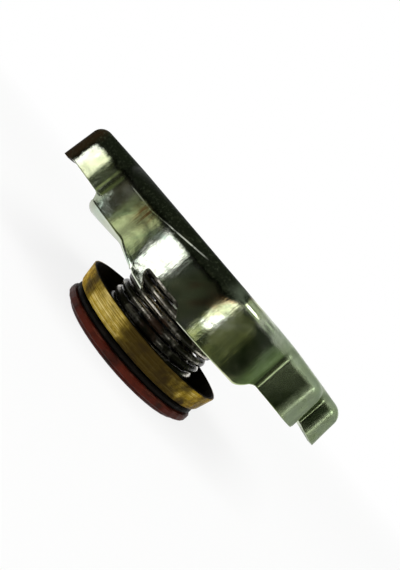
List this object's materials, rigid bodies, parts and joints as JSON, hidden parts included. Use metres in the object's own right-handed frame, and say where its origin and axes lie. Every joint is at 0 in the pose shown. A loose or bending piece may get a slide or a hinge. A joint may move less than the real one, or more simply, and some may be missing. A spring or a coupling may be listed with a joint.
{
  "type": "radiator cap",
  "caption": "Pressure cap for a large radiator filler neck: eared stamped cover, sprung pressure valve with a brass cup and red seal, and a vacuum valve.",
  "frame": {"origin": "centre of the seal's bead on the plane the cap stands on", "axes": "+Z along the cap's axis towards its top plate, +X along the ears"},
  "size_m": [0.0708, 0.0604, 0.0272],
  "materials": {
    "zinc_plate": "bright zinc plate with a yellow-green passivation tint",
    "worn_brass": "scratched, tarnished brass",
    "dark_spring_steel": "dark oiled spring steel",
    "black_steel": "blackened steel",
    "black_rubber": "matte black rubber",
    "red_rubber": "dull dark red rubber"
  },
  "bodies": {
    "cover": {"cover_shell": "zinc_plate", "centre_rivet": "zinc_plate"},
    "swivel": {"diaphragm": "worn_brass", "neck_gasket": "black_rubber", "spring_seat_washer": "black_steel", "stirrup": "black_steel", "main_spring": "dark_spring_steel"},
    "pressure_valve": {"seal_ring": "red_rubber", "backing_ring": "black_rubber", "brass_cup": "worn_brass", "seal_retainer": "zinc_plate", "valve_guide": "black_steel", "vacuum_spring": "dark_spring_steel"},
    "vacuum_valve": {"vacuum_gasket": "black_rubber", "vacuum_disc": "worn_brass", "vacuum_stem": "zinc_plate", "stem_washer": "zinc_plate"}
  },
  "joints": [
    {"name": "swivel_turn", "type": "hinge", "parent": "cover", "child": "swivel", "pos_m": [0, 0, 0.0251], "axis": [0, 0, 1], "continuous": true},
    {"name": "pressure_lift", "type": "slide", "parent": "swivel", "child": "pressure_valve", "axis": [0, 0, 1], "range_m": [0, 0.004], "stiffness_N_per_m": 2500, "springref_m": -0.006, "deforming": ["main_spring"]},
    {"name": "vacuum_drop", "type": "slide", "parent": "pressure_valve", "child": "vacuum_valve", "axis": [0, 0, -1], "range_m": [0, 0.0015], "stiffness_N_per_m": 100, "springref_m": -0.003, "deforming": ["vacuum_spring"]}
  ]
}
